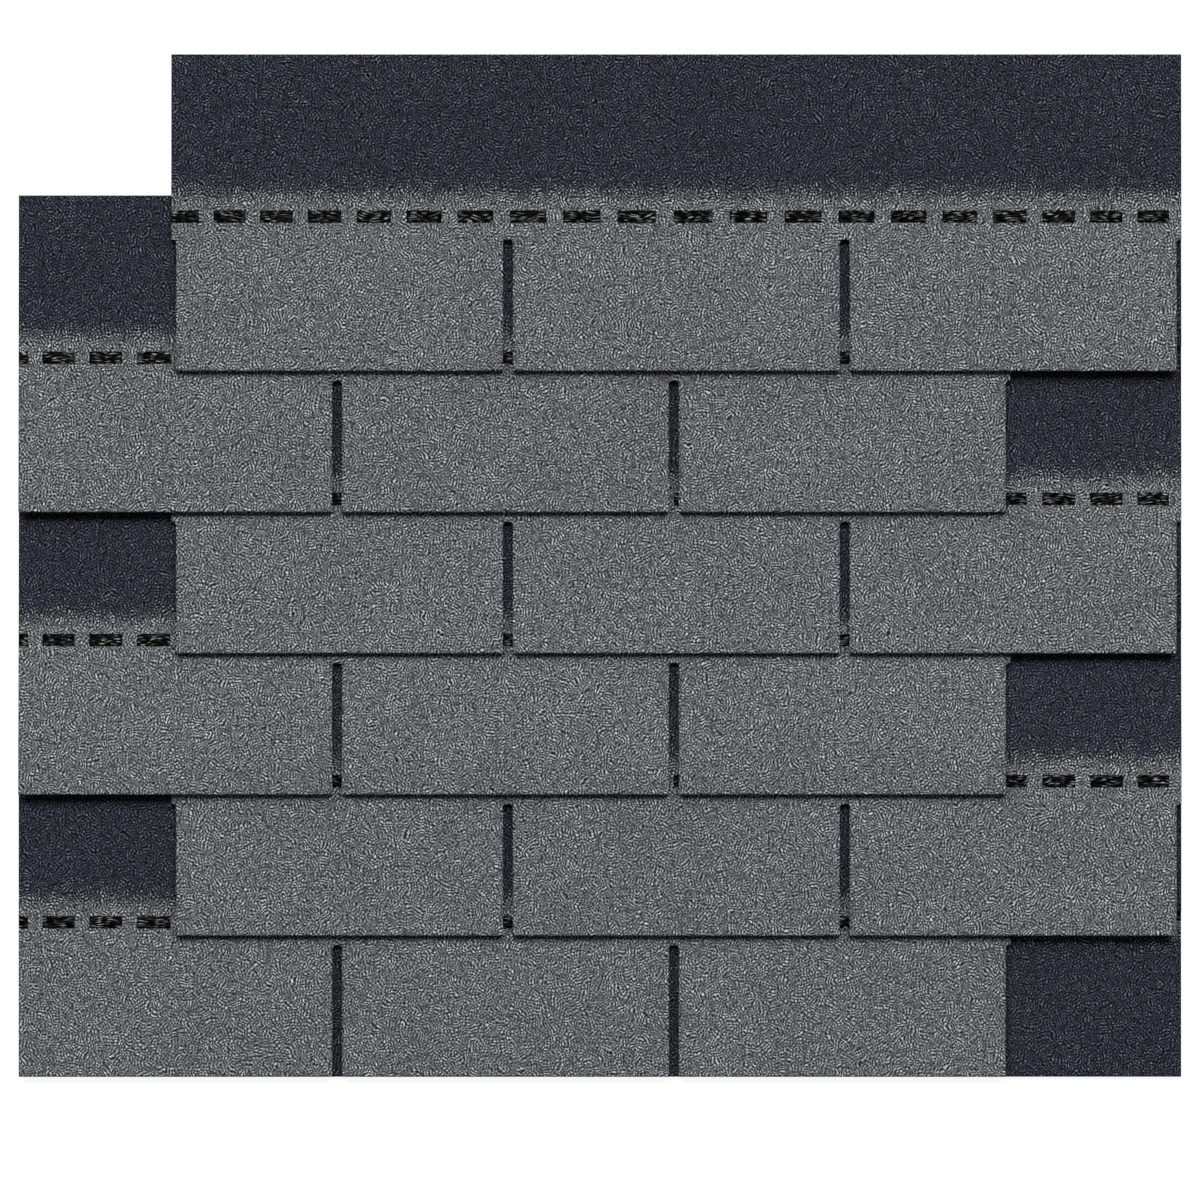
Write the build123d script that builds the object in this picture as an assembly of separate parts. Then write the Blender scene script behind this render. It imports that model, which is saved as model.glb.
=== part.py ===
from build123d import *

import os

# Three-tab asphalt shingle strips, lapped course over course and lying on a level floor.
# Millimetres. +X runs along the courses, +Y up the slope from the eave, +Z up from the floor.
# The origin is the middle of the whole set's footprint, at floor level.

# One strip. Distances down a strip are measured from its top edge.
strip_length = 1000.0
strip_height = 314.0
strip_thickness = 3.0
tab_count = 3
slot_width = 9.5
slot_depth = 130.0
slot_corner_radius = 3.0

# Line of self-seal adhesive dashes, printed on the face above the slots. They are spaced out
# towards mid-strip, and each dash takes up the same share of its pitch.
dash_pitch_at_ends = 45.0
dash_pitch_at_middle = 56.0
dash_share = 0.69
dash_height = 12.4
dash_thickness = 0.6
first_dash_middle = 12.0
dash_above_slot = 17.0

# How the strips are laid. The butt edge of a course stops short of the slots below it,
# and every second course is shifted by half a tab and a little more.
course_count = 6
slot_reveal = 9.7
stagger_slack = 2.4
end_trim = 18.0

# Off-cuts of dark headlap that fill the courses lying further left, out to the right end of the others.
offcut_gap = 1.0
offcut_height = 150.0

# Values that follow from the sizes above.
tab_pitch = strip_length / tab_count
stagger = tab_pitch / 2 + stagger_slack
exposure = slot_depth + slot_reveal
layer_pitch = strip_thickness + dash_thickness
dash_lower_edge = strip_height - slot_depth - dash_above_slot
dash_upper_edge = dash_lower_edge - dash_height
set_left = min(end_trim, stagger)
set_width = stagger + strip_length - set_left
set_height = (course_count - 1) * exposure + strip_height
cutter_reach = (course_count + 2) * layer_pitch


def height_at(underside, down):
    """Height of an underside, given as (distance down, height) points, at one distance down."""
    for (down_a, height_a), (down_b, height_b) in zip(underside, underside[1:]):
        if down <= down_b:
            return height_a + (height_b - height_a) * (down - down_a) / (down_b - down_a)
    return underside[-1][1]


def flat_underside(height):
    """Underside of a strip that lies level."""
    return [(0.0, height), (strip_height, height)]


def lapped_underside(below):
    """Underside of a strip whose top edge is on the floor and which lies on the course below it.

    It rises from the floor to the top edge of the course below and then follows that course's face,
    held off it by the sealant dashes.
    """
    points = [(0.0, 0.0)]
    points += [
        (down + exposure, height + layer_pitch)
        for down, height in below
        if down + exposure < strip_height
    ]
    points.append((strip_height, height_at(below, strip_height - exposure) + layer_pitch))
    return points


def plate(underside, thickness, left, right):
    """Sheet of even thickness on an underside, from left to right along the strip."""
    lower = [(-down, height) for down, height in underside]
    upper = [(y, z + thickness) for y, z in reversed(lower)]
    section = Plane.YZ * make_face(Polyline(*lower, *upper, close=True))
    return Pos(left, 0, 0) * extrude(section, amount=right - left, dir=(1, 0, 0))


def slot_cutter():
    """Round-cornered slot, open at the butt edge, tall enough to pass through every layer."""
    outline = Rectangle(slot_width, 2 * slot_depth)
    outline = fillet(outline.vertices().group_by(Axis.Y)[-1], slot_corner_radius)
    return extrude(outline, amount=cutter_reach, both=True)


def strip(underside, left):
    """One strip: tabs parted by slots, with half a slot at each end that is not trimmed away."""
    body = plate(underside, strip_thickness, left, strip_length)
    cutter = slot_cutter()
    for boundary in range(tab_count + 1):
        body -= Pos(boundary * tab_pitch, -strip_height, 0) * cutter
    return body


def dash_pitch(along):
    """Pitch of the dashes at one distance along the strip: least at the ends and most in the middle."""
    nearness = 1 - abs(2 * along / strip_length - 1)
    return dash_pitch_at_ends + (dash_pitch_at_middle - dash_pitch_at_ends) * nearness


def sealant(underside, left):
    """List of the adhesive dashes on one strip's face. A dash at the end is cut off with the strip."""
    footing = [
        (down, height_at(underside, down) + strip_thickness)
        for down in (dash_upper_edge, dash_lower_edge)
    ]
    dashes = []
    middle = first_dash_middle
    while middle < strip_length + dash_pitch_at_ends:
        half_dash = dash_share * dash_pitch(middle) / 2
        dash_left = max(middle - half_dash, left)
        dash_right = min(middle + half_dash, strip_length)
        if dash_right - dash_left > dash_thickness:
            dashes.append(plate(footing, dash_thickness, dash_left, dash_right))
        middle += dash_pitch(middle + half_dash)
    return dashes


def offcut(underside):
    """Piece of headlap that carries on a strip beyond its right end, cut off above the line of dashes."""
    part = [(down, height) for down, height in underside if down < offcut_height]
    part.append((offcut_height, height_at(underside, offcut_height)))
    return plate(part, strip_thickness, strip_length + offcut_gap, strip_length + stagger)


def write(node, place, pieces):
    """Export the pieces of one node, each at its own place in the set."""
    export_step(Compound(children=[place * piece for piece in pieces]), f"parts/{node}.step")


os.makedirs("parts", exist_ok=True)
to_origin = Pos(-set_left - set_width / 2, -set_height / 2, 0)

# The starter strip is turned round, with its top edge along the eave and its tabs up the slope.
starter_place = to_origin * Pos(stagger + strip_length, 0, 0) * Rot(0, 0, 180)
starter_underside = flat_underside(0.0)
write("starter_strip", starter_place, [strip(starter_underside, 0.0)])
write("starter_sealant", starter_place, sealant(starter_underside, 0.0))

# The first course lies level on the starter strip, and each later one laps the course below it.
# Every second course lies further left, and those that do have their left end trimmed straight.
underside = flat_underside(layer_pitch)
for course in range(1, course_count + 1):
    if course > 1:
        underside = lapped_underside(underside)
    shifted = course % 2 == 1
    left = end_trim if shifted else 0.0
    top_edge = (course - 1) * exposure + strip_height
    place = to_origin * Pos(0.0 if shifted else stagger, top_edge, 0)
    write(f"course_{course}_strip", place, [strip(underside, left)])
    write(f"course_{course}_sealant", place, sealant(underside, left))
    if shifted:
        write(f"course_{course}_offcut", place, [offcut(underside)])
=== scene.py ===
"""Three-tab asphalt shingle strips, lapped course over course, with their granules and sealant dashes."""

import math

import bpy
import numpy as np
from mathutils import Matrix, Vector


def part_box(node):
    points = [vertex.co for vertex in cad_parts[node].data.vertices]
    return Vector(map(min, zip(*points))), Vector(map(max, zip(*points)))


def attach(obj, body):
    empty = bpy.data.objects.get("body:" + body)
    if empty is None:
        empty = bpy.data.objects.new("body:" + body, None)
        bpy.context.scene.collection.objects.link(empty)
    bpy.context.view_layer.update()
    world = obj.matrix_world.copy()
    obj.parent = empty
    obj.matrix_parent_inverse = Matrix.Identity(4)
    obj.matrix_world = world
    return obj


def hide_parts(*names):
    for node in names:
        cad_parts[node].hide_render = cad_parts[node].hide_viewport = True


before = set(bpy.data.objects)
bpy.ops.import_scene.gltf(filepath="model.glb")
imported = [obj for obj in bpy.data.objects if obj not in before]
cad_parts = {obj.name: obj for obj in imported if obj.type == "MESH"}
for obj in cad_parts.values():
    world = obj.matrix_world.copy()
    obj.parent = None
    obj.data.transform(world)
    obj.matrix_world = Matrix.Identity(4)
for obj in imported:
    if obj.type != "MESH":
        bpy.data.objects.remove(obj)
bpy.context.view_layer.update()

MM = 0.001
rng = np.random.default_rng(2104)

# Sizes of one strip, in metres. Distances down a strip are measured from its top edge.
STRIP_LENGTH = 1000 * MM
STRIP_HEIGHT = 314 * MM
TAB_COUNT = 3
SLOT_WIDTH = 9.5 * MM
SLOT_DEPTH = 130 * MM
SLOT_CORNER_RADIUS = 3 * MM
SLOT_TOP = STRIP_HEIGHT - SLOT_DEPTH
CORNER_CUT = SLOT_CORNER_RADIUS * (1 - math.sqrt(0.5))
TAB_PITCH = STRIP_LENGTH / TAB_COUNT
COURSE_COUNT = 6

# Granules are crushed stone, pressed side by side into the asphalt. Each is a low peak in a cell of a grid,
# shifted and leaning by a share of the cell, and part of its shade is that of its facets.
GRANULE_CELL = 2.55 * MM
GRANULE_SHIFT = 0.36
GRANULE_LEAN = 0.26
GRANULE_PEAK = (0.16 * MM, 0.42 * MM)
GRANULE_VALLEY = (0.02 * MM, 0.12 * MM)
FACET_SHARE = 0.55

# At its edges the coat of granules stops short, sinks into the sheet and thins out to bare asphalt.
# Under a lap it runs on a little way.
EDGE_INSET = 0.2 * MM
EDGE_RAGGED = 0.08 * MM
EDGE_SINK = 0.15 * MM
EDGE_COVER = 0.7
UNDER_LAP = 5 * MM

# Fine chips on the granules. Their shades mostly follow short crooked ridges.
CHIP_SIZE = 0.5 * MM
CHIP_RELIEF = 0.5 * MM
CHIP_RELIEF_STRENGTH = 0.7
CHIP_SHARE = 0.5
# Chips darken towards their edges: partly bare asphalt showing between them, partly painted shade in the
# crevices.
CHIP_GAP = (0.45, 0.7)
CHIP_BINDER_AND_SHADE_TONE = (1.0, 0.55)
CHIP_ROUGHNESS = (0.68, 0.9)
CHIP_GLOSS = 0.1
RIDGE_PITCH = 3 * MM
RIDGE_CYCLES = 3.4
RIDGE_BEND = 8 * MM
RIDGE_REACH = 3.7 * MM
RIDGE_SHARE = 0.75

# Colours are pairs of a shade and its linear brightness, with one tint for all the pairs.
GREY_TINT = (0.925, 1.0, 1.05)
NAVY_TINT = (0.86, 1.0, 1.40)
NEUTRAL_TINT = (1.0, 1.0, 1.0)
FACE_SHADES = ((0.10, 0.006), (0.30, 0.045), (0.50, 0.133), (0.70, 0.284), (0.92, 0.710))
HEADLAP_SHADES = ((0.10, 0.0003), (0.30, 0.0046), (0.50, 0.0247), (0.70, 0.061), (0.92, 0.128))

# Tone of the granules: a slow drift over the strip, small clumps, and bare asphalt at the rim.
DRIFTS_PER_METRE = 14.0
DRIFT_TONE = (0.94, 1.06)
CLUMPS_PER_METRE = 230.0
CLUMP_TONE = (0.50, 1.50)
RIM_TONE = (0.05, 1.0)

# The dark granules of the headlap give way to the grey ones of the face over a ragged band, which wanders
# along the strip as the mean of two waves, given in radians per metre.
FADE_MIDDLE = 142.3 * MM
FADE_SOFTNESS = 7.5 * MM
FADE_RIDGE_SHARE = 0.5
FADE_SPAN = (-0.15, 0.15)
FADE_WANDER = 1.8 * MM
FADE_LONG_WAVE = 61.0
FADE_SHORT_WAVE = 143.0
FADE_COURSE_PHASE = 9.0
FADE_SHORT_PHASE = 2.0

# The sheet under the granules: bare stones on its face, mat fibres in its cut edges, and a sanded back.
# Its sides are told apart by the upward part of the direction that they face.
FACING_UP = (0.4, 0.6)
FACING_DOWN = (-0.4, -0.6)
BARE_STONES_PER_METRE = 420.0
BARE_SHADES = ((0.0, 0.01), (0.5, 0.025), (1.0, 0.06))
FIBRES_PER_METRE = (60.0, 60.0, 2600.0)
FIBRE_SHADES = ((0.0, 0.008), (0.52, 0.014), (0.68, 0.05), (1.0, 0.11))
SAND_PER_METRE = 1100.0
SAND_SHADES = ((0.0, 0.02), (0.6, 0.05), (0.85, 0.11), (1.0, 0.24))
BACK_DUST_PER_METRE = 9.0
BACK_DUST_SPAN = (0.35, 0.7)
BACK_DUST_SHARE = (0.0, 0.5)
BACK_DUST_COLOUR = (0.09, 0.09, 0.088, 1.0)
SHEET_RELIEF = 0.3 * MM
SHEET_RELIEF_STRENGTH = 0.8
SHEET_PATCHES_PER_METRE = 300.0
SHEET_ROUGHNESS = (0.6, 0.9)
SHEET_GLOSS = 0.2

# Adhesive dashes are a thin film that follows the granules under it, with dust caught in drawn-out streaks.
FILM_CELL = 1.7 * MM
FILM_LIFT = (0.36 * MM, 0.60 * MM)
FILM_RAGGED = 0.2 * MM
STREAK_PITCH = 1.9 * MM
STREAK_CYCLES = 1.8
STREAK_BEND = 20 * MM
STREAK_REACH = 7 * MM
STREAK_STRETCH = (0.15, 1.0, 1.0)
STREAK_RELIEF = 0.4 * MM
STREAK_RELIEF_STRENGTH = 0.6
WEAR_PER_METRE = 150.0
WEAR_SPAN = (0.35, 0.65)
WEAR_DUST = (-0.10, 0.03)
RIM_DUST = (-0.30, 0.0)
FILM_SHADES = ((0.30, 0.0001), (0.42, 0.0010), (0.50, 0.005), (0.57, 0.022), (0.64, 0.10), (0.74, 0.34))
FILM_DUST_SPAN = (0.4, 0.7)
FILM_ROUGHNESS = (0.45, 0.8)
FILM_GLOSS = 0.03

# The span that most values of a noise lie in, and the full span of a share.
NOISE_SPAN = (0.3, 0.7)
UNIT = (0.0, 1.0)

# Flat map of a piece, laid out in rows with a margin, as a share of the row.
MAP_NAME = "OFBake"
MAP_MARGIN = 0.01

# Floor, in metres, and studio light.
FLOOR_SIZE = 60.0
FLOOR_CELLS = 24
FLOOR_PATCHES_PER_METRE = 3.0
FLOOR_SHADES = ((0.3, 0.29), (0.7, 0.31))
FLOOR_ROUGHNESS = 0.9
FLOOR_GLOSS = 0.1
FLOOR_GLOW = 0.9
LAMP_STRENGTH = 3.22
LAMP_ELEVATION_DEG = 27.5
LAMP_SOFTNESS_DEG = 34.0
LAMP_TURN_DEG = 35.0
FILL_STRENGTH = 0.09
BACKDROP_LEVEL = 0.95

# Where the picture is taken from: straight above, with 1.189 m of floor across the frame.
FRAME_PIXELS = 1200
FRAME_SHIFT_PIXELS = -34.5
PIXEL_MM = 0.9906
FRAME_WIDTH = FRAME_PIXELS * PIXEL_MM * MM
FRAME_SHIFT_Y = FRAME_SHIFT_PIXELS * PIXEL_MM * MM
LENS_MM = 300.0
SENSOR_MM = 36.0


class Graph:
    """Node tree of one material."""

    def __init__(self, name):
        self.material = bpy.data.materials.new(name)
        self.material.use_nodes = True
        self.tree = self.material.node_tree
        self.tree.nodes.clear()
        output = self.tree.nodes.new("ShaderNodeOutputMaterial")
        self.shader = self.tree.nodes.new("ShaderNodeBsdfPrincipled")
        self.tree.links.new(self.shader.outputs["BSDF"], output.inputs["Surface"])

    def feed(self, socket, value):
        """Link a socket to another node's output, or set it to a constant."""
        if isinstance(value, bpy.types.NodeSocket):
            self.tree.links.new(value, socket)
        else:
            socket.default_value = value

    def attribute(self, name):
        """Numbers that are stored on the mesh under a name."""
        node = self.tree.nodes.new("ShaderNodeAttribute")
        node.attribute_name = name
        return node.outputs["Fac"]

    def position(self):
        """Place on the object, in metres."""
        return self.tree.nodes.new("ShaderNodeTexCoord").outputs["Object"]

    def upward(self):
        """Upward part of the direction that the surface faces."""
        split = self.tree.nodes.new("ShaderNodeSeparateXYZ")
        self.feed(split.inputs["Vector"], self.tree.nodes.new("ShaderNodeNewGeometry").outputs["Normal"])
        return split.outputs["Z"]

    def stretched(self, vector, scale):
        """Place scaled along each axis."""
        node = self.tree.nodes.new("ShaderNodeMapping")
        self.feed(node.inputs["Vector"], vector)
        node.inputs["Scale"].default_value = scale
        return node.outputs["Vector"]

    def noise(self, vector, scale, detail=2.0, roughness=0.5, dimensions="3D"):
        """Smooth random patches."""
        node = self.tree.nodes.new("ShaderNodeTexNoise")
        node.noise_dimensions = dimensions
        self.feed(node.inputs["Vector"], vector)
        node.inputs["Scale"].default_value = scale
        node.inputs["Detail"].default_value = detail
        node.inputs["Roughness"].default_value = roughness
        return node.outputs["Fac"]

    def cells(self, vector, scale, dimensions="3D"):
        """Outputs of a cell pattern: Distance from a cell's middle, its random Color and its Position."""
        node = self.tree.nodes.new("ShaderNodeTexVoronoi")
        node.voronoi_dimensions = dimensions
        self.feed(node.inputs["Vector"], vector)
        node.inputs["Scale"].default_value = scale
        return node.outputs

    def ridges(self, vector, pitch, cycles):
        """Short crooked ridges that run every way, about one pitch apart."""
        node = self.tree.nodes.new("ShaderNodeTexGabor")
        self.feed(node.inputs["Vector"], vector)
        node.inputs["Scale"].default_value = 1 / (pitch * cycles)
        node.inputs["Frequency"].default_value = cycles
        node.inputs["Anisotropy"].default_value = 0.0
        return node.outputs["Value"]

    def bent(self, vector, size, reach):
        """Place moved about by up to one reach, in smooth swirls of the given size."""
        node = self.tree.nodes.new("ShaderNodeTexNoise")
        node.noise_dimensions = "2D"
        self.feed(node.inputs["Vector"], vector)
        node.inputs["Scale"].default_value = 1 / size
        node.inputs["Detail"].default_value = 0.0
        shift = self.tree.nodes.new("ShaderNodeVectorMath")
        shift.operation = "MULTIPLY_ADD"
        self.feed(shift.inputs[0], node.outputs["Color"])
        shift.inputs[1].default_value = (reach, reach, reach)
        self.feed(shift.inputs[2], vector)
        return shift.outputs["Vector"]

    def channel(self, colour, name):
        """One channel of a colour."""
        node = self.tree.nodes.new("ShaderNodeSeparateColor")
        self.feed(node.inputs["Color"], colour)
        return node.outputs[name]

    def blend(self, first, second, share):
        """First and second number, mixed with the given share of the second."""
        node = self.tree.nodes.new("ShaderNodeMix")
        node.inputs["Factor"].default_value = share
        self.feed(node.inputs["A"], first)
        self.feed(node.inputs["B"], second)
        return node.outputs["Result"]

    def ramp(self, value, shades, tint):
        """Colour of a shade, between pairs of a shade and its brightness."""
        node = self.tree.nodes.new("ShaderNodeValToRGB")
        self.feed(node.inputs["Fac"], value)
        elements = node.color_ramp.elements
        while len(elements) < len(shades):
            elements.new(1.0)
        for element, (place, level) in zip(elements, shades):
            element.position = place
            element.color = (*(level * part for part in tint), 1.0)
        return node.outputs["Color"]

    def range(self, value, span, result):
        """Number mapped from one span to another, and held at its ends."""
        node = self.tree.nodes.new("ShaderNodeMapRange")
        self.feed(node.inputs["Value"], value)
        node.inputs["From Min"].default_value, node.inputs["From Max"].default_value = span
        node.inputs["To Min"].default_value, node.inputs["To Max"].default_value = result
        return node.outputs["Result"]

    def math(self, operation, first, second):
        """Two numbers, put together by an operation."""
        node = self.tree.nodes.new("ShaderNodeMath")
        node.operation = operation
        self.feed(node.inputs[0], first)
        self.feed(node.inputs[1], second)
        return node.outputs["Value"]

    def mix(self, factor, first, second, blend="MIX"):
        """First and second colour, mixed by a factor."""
        node = self.tree.nodes.new("ShaderNodeMix")
        node.data_type = "RGBA"
        node.blend_type = blend
        self.feed(node.inputs["Factor"], factor)
        self.feed(node.inputs["A"], first)
        self.feed(node.inputs["B"], second)
        return node.outputs["Result"]

    def bump(self, height, distance, strength):
        """Fine relief of the surface."""
        node = self.tree.nodes.new("ShaderNodeBump")
        self.feed(node.inputs["Height"], height)
        node.inputs["Distance"].default_value = distance
        node.inputs["Strength"].default_value = strength
        self.tree.links.new(node.outputs["Normal"], self.shader.inputs["Normal"])

    def set(self, **values):
        """Feed sockets of the shader, named with underscores for spaces."""
        for name, value in values.items():
            self.feed(self.shader.inputs[name.replace("_", " ")], value)
        return self.material


def granule_material():
    """Stone chips with shades that follow ridges, dark on the headlap and grey on the face."""
    graph = Graph("stone_granules")
    place = graph.position()
    chip = graph.cells(place, 1 / CHIP_SIZE, "2D")
    chip_shade = graph.channel(chip["Color"], "Red")
    chip_chance = graph.channel(chip["Color"], "Green")
    bent = graph.bent(chip["Position"], RIDGE_BEND, RIDGE_REACH)
    ridge = graph.range(graph.ridges(bent, RIDGE_PITCH, RIDGE_CYCLES), NOISE_SPAN, UNIT)
    own_shade = graph.blend(graph.attribute("shade"), chip_shade, CHIP_SHARE)
    shade = graph.blend(own_shade, ridge, RIDGE_SHARE)
    face = graph.ramp(shade, FACE_SHADES, GREY_TINT)
    headlap = graph.ramp(shade, HEADLAP_SHADES, NAVY_TINT)
    threshold = graph.blend(chip_chance, graph.math("SUBTRACT", 1.0, ridge), FADE_RIDGE_SHARE)
    over = graph.math("SUBTRACT", graph.attribute("grey_share"), threshold)
    colour = graph.mix(graph.range(over, FADE_SPAN, UNIT), headlap, face)
    drift_noise = graph.noise(place, DRIFTS_PER_METRE, detail=3.0, dimensions="2D")
    drift = graph.range(drift_noise, NOISE_SPAN, DRIFT_TONE)
    clump_noise = graph.noise(place, CLUMPS_PER_METRE, roughness=0.6, dimensions="2D")
    clump = graph.range(clump_noise, NOISE_SPAN, CLUMP_TONE)
    # Painted shade in part: each chip darkens towards its edge, standing in for shade in the crevices as
    # well as bare asphalt there.
    binder_and_crevice_shade = graph.range(chip["Distance"], CHIP_GAP, CHIP_BINDER_AND_SHADE_TONE)
    rim = graph.range(graph.attribute("cover"), UNIT, RIM_TONE)
    tone = graph.math("MULTIPLY", graph.math("MULTIPLY", drift, clump), graph.math("MULTIPLY", binder_and_crevice_shade, rim))
    colour = graph.mix(1.0, colour, tone, "MULTIPLY")
    graph.bump(graph.math("SUBTRACT", 1.0, chip["Distance"]), CHIP_RELIEF, CHIP_RELIEF_STRENGTH)
    rough = graph.range(chip_shade, UNIT, CHIP_ROUGHNESS)
    return graph.set(Base_Color=colour, Roughness=rough, Specular_IOR_Level=CHIP_GLOSS)


def shingle_material():
    """Asphalt sheet: bare stones on its face, black cut edges with pale mat fibres, and a sanded back."""
    graph = Graph("asphalt_sheet")
    place = graph.position()
    upward = graph.upward()
    is_face = graph.range(upward, FACING_UP, UNIT)
    is_back = graph.range(upward, FACING_DOWN, UNIT)
    stone = graph.cells(place, BARE_STONES_PER_METRE)
    face = graph.ramp(stone["Color"], BARE_SHADES, GREY_TINT)
    fibre = graph.noise(graph.stretched(place, FIBRES_PER_METRE), 1.0, detail=3.0, roughness=0.6)
    edge = graph.ramp(fibre, FIBRE_SHADES, GREY_TINT)
    sand = graph.cells(place, SAND_PER_METRE)
    sanded = graph.ramp(sand["Color"], SAND_SHADES, GREY_TINT)
    dust = graph.noise(place, BACK_DUST_PER_METRE, detail=4.0, roughness=0.6)
    back = graph.mix(graph.range(dust, BACK_DUST_SPAN, BACK_DUST_SHARE), sanded, BACK_DUST_COLOUR)
    colour = graph.mix(is_back, graph.mix(is_face, edge, face), back)
    graph.bump(graph.mix(is_face, fibre, stone["Distance"]), SHEET_RELIEF, SHEET_RELIEF_STRENGTH)
    rough = graph.range(graph.noise(place, SHEET_PATCHES_PER_METRE), NOISE_SPAN, SHEET_ROUGHNESS)
    return graph.set(Base_Color=colour, Roughness=rough, Specular_IOR_Level=SHEET_GLOSS)


def sealant_material():
    """Black adhesive film, drawn out along the strip, with dust and grains of stone caught in it."""
    graph = Graph("adhesive_film")
    place = graph.position()
    drawn_out = graph.stretched(graph.bent(place, STREAK_BEND, STREAK_REACH), STREAK_STRETCH)
    streak = graph.ridges(drawn_out, STREAK_PITCH, STREAK_CYCLES)
    worn = graph.range(graph.noise(place, WEAR_PER_METRE, dimensions="2D"), WEAR_SPAN, WEAR_DUST)
    rim = graph.range(graph.attribute("cover"), UNIT, RIM_DUST)
    dust = graph.math("ADD", streak, graph.math("ADD", worn, rim))
    colour = graph.ramp(dust, FILM_SHADES, NEUTRAL_TINT)
    graph.bump(streak, STREAK_RELIEF, STREAK_RELIEF_STRENGTH)
    rough = graph.range(dust, FILM_DUST_SPAN, FILM_ROUGHNESS)
    return graph.set(Base_Color=colour, Roughness=rough, Specular_IOR_Level=FILM_GLOSS)


def floor_material():
    """Pale matt floor, lit a little from within as a light table is."""
    graph = Graph("pale_floor")
    tint = graph.ramp(graph.noise(graph.position(), FLOOR_PATCHES_PER_METRE), FLOOR_SHADES, NEUTRAL_TINT)
    return graph.set(
        Base_Color=tint,
        Roughness=FLOOR_ROUGHNESS,
        Specular_IOR_Level=FLOOR_GLOSS,
        Emission_Color=(1.0, 1.0, 1.0, 1.0),
        Emission_Strength=FLOOR_GLOW,
    )


class Sheet:
    """One sheet of shingle. Points on its face are given as (along, down) and come out as x, y, z."""

    def __init__(self, name, node, full_length, height, slot_middles, turned=False):
        self.name = name
        self.node = node
        low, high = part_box(node)
        self.direction = -1.0 if turned else 1.0
        self.origin_x = high[0] if turned else high[0] - full_length
        self.origin_y = low[1] if turned else high[1]
        self.left = full_length - (high[0] - low[0])
        self.right = full_length
        self.height = height
        self.slots = [
            (middle - SLOT_WIDTH / 2, middle + SLOT_WIDTH / 2)
            for middle in slot_middles
            if middle + SLOT_WIDTH / 2 > self.left
        ]
        self.profile_y, self.profile_z = self.face_profile()

    def face_profile(self):
        """Height of the face against y, read at the corners of the solid."""
        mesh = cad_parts[self.node].data
        points = np.empty(len(mesh.vertices) * 3, np.float32)
        mesh.vertices.foreach_get("co", points)
        points = points.reshape(-1, 3).astype(float)
        levels = np.round(points[:, 1], 6)
        rows = np.unique(levels)
        return rows, np.array([points[levels == row, 2].max() for row in rows])

    def slot_sides(self):
        """Sides of the slots on this sheet, set back by the inset, as (along, which way the slot lies)."""
        sides = []
        for start, stop in self.slots:
            sides += [(start - EDGE_INSET, 1), (stop + EDGE_INSET, -1)]
        return [(along, inward) for along, inward in sides if self.left < along < self.right]

    def place(self, along, down):
        """Points on the face."""
        x = self.origin_x + self.direction * along
        y = self.origin_y - self.direction * down
        return x, y, np.interp(y, self.profile_y, self.profile_z)

    def holds(self, along, down, margin):
        """Whether points lie on this sheet, more than a margin inside its outline."""
        inside = (along > self.left + margin) & (along < self.right - margin)
        inside &= (down > margin) & (down < self.height - margin)
        for start, stop in self.slots:
            inside &= ~((along > start - margin) & (along < stop + margin) & (down > SLOT_TOP - margin))
        return inside

    def covers(self, x, y):
        """Whether points given by x and y are well under this sheet."""
        along = (x - self.origin_x) * self.direction
        down = (self.origin_y - y) * self.direction
        return self.holds(along, down, UNDER_LAP)


def strip(name, turned=False):
    """One whole strip, with slots between its tabs and half a slot at each end that is not trimmed away."""
    middles = [index * TAB_PITCH for index in range(TAB_COUNT + 1)]
    return Sheet(name, f"{name}_strip", STRIP_LENGTH, STRIP_HEIGHT, middles, turned)


def offcut(name):
    """One off-cut of headlap, with no slots."""
    low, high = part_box(name)
    return Sheet(name, name, high[0] - low[0], high[1] - low[1], [])


def cell_edges(breaks, cell):
    """Edges of cells about one cell apart, even between every two breaks."""
    edges = [breaks[0]]
    for start, stop in zip(breaks, breaks[1:]):
        count = max(1, round((stop - start) / cell))
        edges.extend(np.linspace(start, stop, count + 1)[1:])
    return np.array(edges)


def cell_middles(values):
    """Mean of the four corners of every cell of a grid."""
    return (values[:-1, :-1] + values[1:, :-1] + values[:-1, 1:] + values[1:, 1:]) / 4


def store(mesh, name, domain, values):
    """Keep one number for each point or face of a mesh."""
    layer = mesh.attributes.new(name, "FLOAT", domain)
    layer.data.foreach_set("value", values.astype(np.float32))


def flat_map(mesh, along, down):
    """Lay the triangles of a long mesh out flat in a square, as rows cut from its length.

    The corners of the triangles are given face by face.
    """
    length, depth = np.ptp(along), np.ptp(down)
    row_count = max(1, round(math.sqrt(length / depth)))
    across = (along - along.min()) / length * row_count
    row = np.clip(np.floor(across.mean(axis=1, keepdims=True)), 0, row_count - 1)
    inside = 1 - 2 * MAP_MARGIN
    u = MAP_MARGIN + inside * (across - row)
    v = (row + MAP_MARGIN + inside * (down.max() - down) / depth) / row_count
    layer = mesh.uv_layers.new(name=MAP_NAME)
    layer.data.foreach_set("uv", np.stack([u, v], axis=2).astype(np.float32).ravel())


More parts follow.
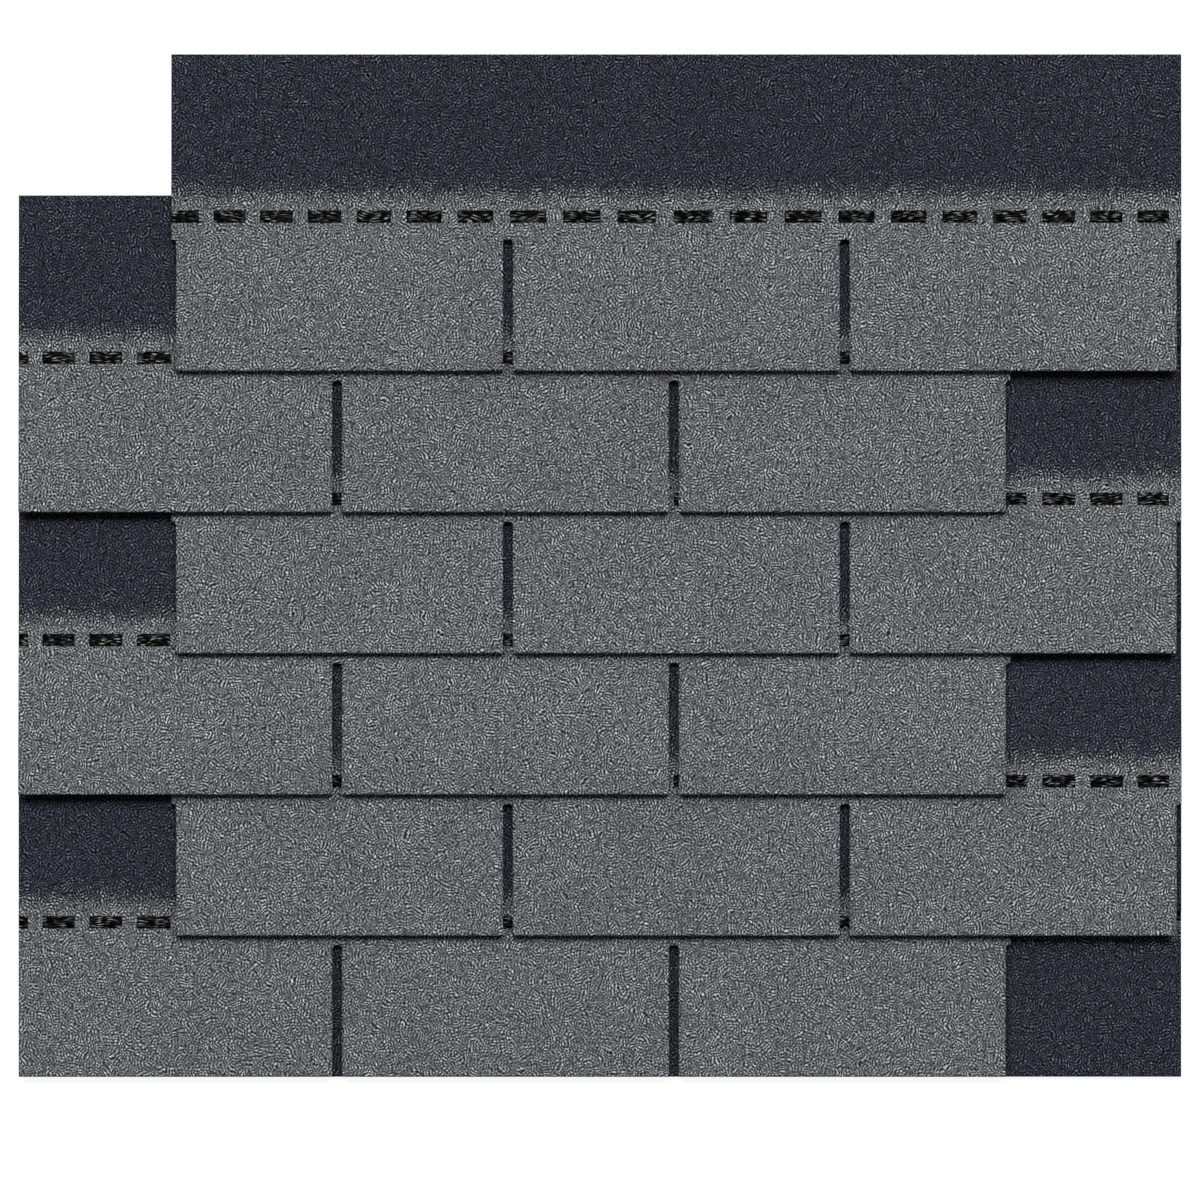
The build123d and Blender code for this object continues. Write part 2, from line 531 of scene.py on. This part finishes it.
def relief_faces(laid):
    """Triangles over the laid cells of a grid: four for each peak, and two of skirt for each open side.

    The points are the corners of the grid, then a foot below each corner, then the peak of each cell.
    Returns the triangles, the number of the laid cell of each, and whether each is part of a peak.
    """
    rows, columns = laid.shape
    corner = np.arange((rows + 1) * (columns + 1)).reshape(rows + 1, columns + 1)
    foot = corner + corner.size
    peak = 2 * corner.size + np.arange(laid.size).reshape(laid.shape)
    number = np.cumsum(laid).reshape(laid.shape) - 1
    padded = np.pad(laid, 1)
    beyond = [padded[2:, 1:-1], padded[1:-1, 2:], padded[:-2, 1:-1], padded[1:-1, :-2]]
    corners = [np.s_[1:, :-1], np.s_[1:, 1:], np.s_[:-1, 1:], np.s_[:-1, :-1]]
    triangles = []
    cells = []
    on_peak = []
    for side in range(4):
        start, stop = corners[side], corners[(side + 1) % 4]
        is_open = laid & ~beyond[side]
        for where, points in (
            (laid, (corner[start], corner[stop], peak)),
            (is_open, (corner[stop], corner[start], foot[start])),
            (is_open, (corner[stop], foot[start], foot[stop])),
        ):
            triangles.append(np.stack([point[where] for point in points], axis=1))
            cells.append(number[where])
            on_peak.append(np.full(len(cells[-1]), points[2] is peak))
    return np.concatenate(triangles), np.concatenate(cells), np.concatenate(on_peak)


def add_piece(name, points, triangles, is_smooth):
    """Piece of the object, made from its points and triangles."""
    mesh = bpy.data.meshes.new(name)
    mesh.vertices.add(len(points))
    mesh.vertices.foreach_set("co", points.astype(np.float32).ravel())
    mesh.loops.add(triangles.size)
    mesh.loops.foreach_set("vertex_index", triangles.astype(np.int32).ravel())
    mesh.polygons.add(len(triangles))
    mesh.polygons.foreach_set("loop_start", np.arange(0, triangles.size, 3, dtype=np.int32))
    mesh.polygons.foreach_set("use_smooth", is_smooth)
    mesh.update(calc_edges=True)
    mesh.validate()
    piece = bpy.data.objects.new(name, mesh)
    bpy.context.scene.collection.objects.link(piece)
    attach(piece, "root")
    return piece


def relief_piece(name, sheet, along, down, laid, peaks, valleys, ragged):
    """Sheet of uneven four-sided peaks over the laid cells of a grid, with a skirt down into the face below.

    The corners of the cells are given as (along, down). Returns the piece, the (along, down) of the peak of
    each laid cell, and the number of the cell of each face.
    """
    width = np.median(np.diff(along, axis=1))
    height = np.median(np.diff(down, axis=0))
    padded = np.pad(laid, 1).astype(int)
    before_left, before_right = padded[:-1, :-1], padded[:-1, 1:]
    after_left, after_right = padded[1:, :-1], padded[1:, 1:]
    inner = before_left + before_right + after_left + after_right == 4
    foot_along = along + EDGE_INSET * np.sign(before_left + after_left - before_right - after_right)
    foot_down = down + EDGE_INSET * np.sign(before_left + before_right - after_left - after_right)
    along = along + rng.uniform(-1, 1, along.shape) * np.where(inner, GRANULE_SHIFT * width, ragged)
    down = down + rng.uniform(-1, 1, down.shape) * np.where(inner, GRANULE_SHIFT * height, ragged)
    lift = np.where(inner, rng.uniform(*valleys, along.shape), rng.uniform(*peaks, along.shape))
    peak_along = cell_middles(along) + rng.uniform(-1, 1, laid.shape) * GRANULE_LEAN * width
    peak_down = cell_middles(down) + rng.uniform(-1, 1, laid.shape) * GRANULE_LEAN * height
    peak_lift = rng.uniform(*peaks, laid.shape)

    triangles, cells, on_peak = relief_faces(laid)
    used, triangles = np.unique(triangles, return_inverse=True)
    triangles = triangles.reshape(-1, 3)
    all_along = np.concatenate([along.ravel(), foot_along.ravel(), peak_along.ravel()])[used]
    all_down = np.concatenate([down.ravel(), foot_down.ravel(), peak_down.ravel()])[used]
    all_lift = np.concatenate([lift.ravel(), np.full(along.size, -EDGE_SINK), peak_lift.ravel()])[used]
    corner_cover = np.where(inner, 1, EDGE_COVER).ravel()
    all_cover = np.concatenate([corner_cover, np.zeros(along.size), np.ones(laid.size)])[used]
    x, y, z = sheet.place(all_along, all_down)
    piece = add_piece(name, np.stack([x, y, z + all_lift], axis=1), triangles, on_peak)
    flat_map(piece.data, all_along[triangles], all_down[triangles])
    store(piece.data, "cover", "POINT", all_cover)
    return piece, peak_along[laid], peak_down[laid], cells


def granule_grid(sheet):
    """Edges of the columns and rows of granules on a sheet, with edges along its slots."""
    breaks = [sheet.left + EDGE_INSET, sheet.right - EDGE_INSET]
    breaks += [along for along, _ in sheet.slot_sides()]
    columns = cell_edges(sorted(breaks), GRANULE_CELL)
    bands = [EDGE_INSET, sheet.height - EDGE_INSET]
    if sheet.slots:
        bands.insert(1, SLOT_TOP - EDGE_INSET)
    return columns, cell_edges(bands, GRANULE_CELL)


def fade(sheet, along, down):
    """Share of grey granules at points on a sheet: none on the headlap and all on the face."""
    long_wave = np.sin(along * FADE_LONG_WAVE + sheet.origin_y * FADE_COURSE_PHASE)
    short_wave = np.sin(along * FADE_SHORT_WAVE + FADE_SHORT_PHASE)
    wander = FADE_WANDER * (long_wave + short_wave) / 2
    return 1 / (1 + np.exp(-(down - FADE_MIDDLE - wander) / FADE_SOFTNESS))


def granule_coat(sheet, upper_sheets, material, all_dark=False):
    """Granules on all of a sheet's face that the upper sheets leave open to view."""
    columns, rows = granule_grid(sheet)
    along, down = np.meshgrid((columns[:-1] + columns[1:]) / 2, (rows[:-1] + rows[1:]) / 2)
    laid = sheet.holds(along, down, EDGE_INSET)
    x, y, _ = sheet.place(along, down)
    for upper in upper_sheets:
        laid &= ~upper.covers(x, y)
    corner_along, corner_down = np.meshgrid(columns, rows)
    slot_row = np.searchsorted(rows, SLOT_TOP - 2 * EDGE_INSET)
    for side, inward in sheet.slot_sides():
        corner = slot_row, np.argmin(np.abs(columns - side))
        corner_along[corner] += inward * CORNER_CUT
        corner_down[corner] += CORNER_CUT
    name = f"{sheet.name}_granules"
    coat, along, down, cells = relief_piece(
        name, sheet, corner_along, corner_down, laid, GRANULE_PEAK, GRANULE_VALLEY, EDGE_RAGGED
    )
    grey_share = np.zeros(len(along)) if all_dark else fade(sheet, along, down)
    own = rng.uniform(0, 1, len(along))
    facets = rng.uniform(0, 1, len(cells))
    store(coat.data, "shade", "FACE", own[cells] * (1 - FACET_SHARE) + facets * FACET_SHARE)
    store(coat.data, "grey_share", "FACE", grey_share[cells])
    coat.data.materials.append(material)


def sealant_film(sheet, material):
    """The dashes of adhesive on one strip, joined as one piece in place of the plain ones."""
    node = f"{sheet.name}_sealant"
    points = np.array([vertex.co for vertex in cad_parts[node].data.vertices])
    ends = np.unique(np.round((points[:, 0] - sheet.origin_x) * sheet.direction, 5)).reshape(-1, 2)
    sides = (sheet.origin_y - points[:, 1]) * sheet.direction
    columns = []
    laid = []
    for start, stop in ends:
        edges = cell_edges([start + EDGE_INSET, stop - EDGE_INSET], FILM_CELL)
        laid.extend([False] * bool(columns) + [True] * (len(edges) - 1))
        columns.extend(edges)
    rows = cell_edges([sides.min() + EDGE_INSET, sides.max() - EDGE_INSET], FILM_CELL)
    laid = np.repeat(np.array(laid)[None], len(rows) - 1, axis=0)
    along, down = np.meshgrid(columns, rows)
    name = f"{sheet.name}_dashes"
    film, _, _, _ = relief_piece(name, sheet, along, down, laid, FILM_LIFT, FILM_LIFT, FILM_RAGGED)
    film.data.materials.append(material)
    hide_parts(node)


def build_floor():
    """Level floor that runs far past the frame."""
    ticks = np.linspace(-FLOOR_SIZE / 2, FLOOR_SIZE / 2, FLOOR_CELLS + 1)
    points = [(x, y, 0.0) for y in ticks for x in ticks]
    row_step = FLOOR_CELLS + 1
    starts = [row * row_step + column for row in range(FLOOR_CELLS) for column in range(FLOOR_CELLS)]
    faces = [(start, start + 1, start + row_step + 1, start + row_step) for start in starts]
    mesh = bpy.data.meshes.new("floor")
    mesh.from_pydata(points, [], faces)
    floor = bpy.data.objects.new("floor", mesh)
    floor.data.materials.append(floor_material())
    bpy.context.scene.collection.objects.link(floor)


def build_lamp(name, turn):
    """One soft lamp far off, beyond the top edges and turned about the vertical."""
    data = bpy.data.lights.new(name, "SUN")
    data.energy = LAMP_STRENGTH
    data.angle = math.radians(LAMP_SOFTNESS_DEG)
    lamp = bpy.data.objects.new(name, data)
    lamp.rotation_euler = (math.radians(LAMP_ELEVATION_DEG - 90.0), 0.0, math.radians(turn))
    bpy.context.scene.collection.objects.link(lamp)


def build_light():
    """Wide soft light from beyond the top edges, left and right alike, with a weak even fill."""
    build_lamp("lamp_left", LAMP_TURN_DEG)
    build_lamp("lamp_right", -LAMP_TURN_DEG)
    world = bpy.data.worlds.new("studio")
    bpy.context.scene.world = world
    world.use_nodes = True
    tree = world.node_tree
    tree.nodes.clear()
    output = tree.nodes.new("ShaderNodeOutputWorld")
    fill = tree.nodes.new("ShaderNodeBackground")
    fill.inputs["Color"].default_value = (1.0, 1.0, 1.0, 1.0)
    fill.inputs["Strength"].default_value = FILL_STRENGTH
    backdrop = tree.nodes.new("ShaderNodeBackground")
    backdrop.inputs["Color"].default_value = (BACKDROP_LEVEL, BACKDROP_LEVEL, BACKDROP_LEVEL, 1.0)
    path = tree.nodes.new("ShaderNodeLightPath")
    choose = tree.nodes.new("ShaderNodeMixShader")
    tree.links.new(path.outputs["Is Camera Ray"], choose.inputs["Fac"])
    tree.links.new(fill.outputs["Background"], choose.inputs[1])
    tree.links.new(backdrop.outputs["Background"], choose.inputs[2])
    tree.links.new(choose.outputs["Shader"], output.inputs["Surface"])


def build_camera():
    """Camera far above the strips, looking straight down with the top edges at the top of the frame."""
    data = bpy.data.cameras.new("camera")
    data.sensor_width = SENSOR_MM
    data.lens = LENS_MM
    camera = bpy.data.objects.new("camera", data)
    distance = FRAME_WIDTH / 2 / (SENSOR_MM / 2 / LENS_MM)
    camera.location = (0.0, FRAME_SHIFT_Y, distance)
    bpy.context.scene.collection.objects.link(camera)
    bpy.context.scene.camera = camera


build_camera()
build_light()
build_floor()
bpy.context.scene.view_settings.view_transform = "Standard"

granules = granule_material()
asphalt = shingle_material()
adhesive = sealant_material()

# The strips from the starter upwards, and the off-cuts that carry on every second course.
strips = [strip("starter", turned=True)]
strips += [strip(f"course_{number}") for number in range(1, COURSE_COUNT + 1)]
offcuts = {number: offcut(f"course_{number}_offcut") for number in range(1, COURSE_COUNT + 1, 2)}
for sheet in strips + list(offcuts.values()):
    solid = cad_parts[sheet.node]
    solid.data.materials.clear()
    solid.data.materials.append(asphalt)
for level, sheet in enumerate(strips):
    granule_coat(sheet, strips[level + 1:], granules)
    sealant_film(sheet, adhesive)
for number, sheet in offcuts.items():
    granule_coat(sheet, strips[number + 1:], granules, all_dark=True)
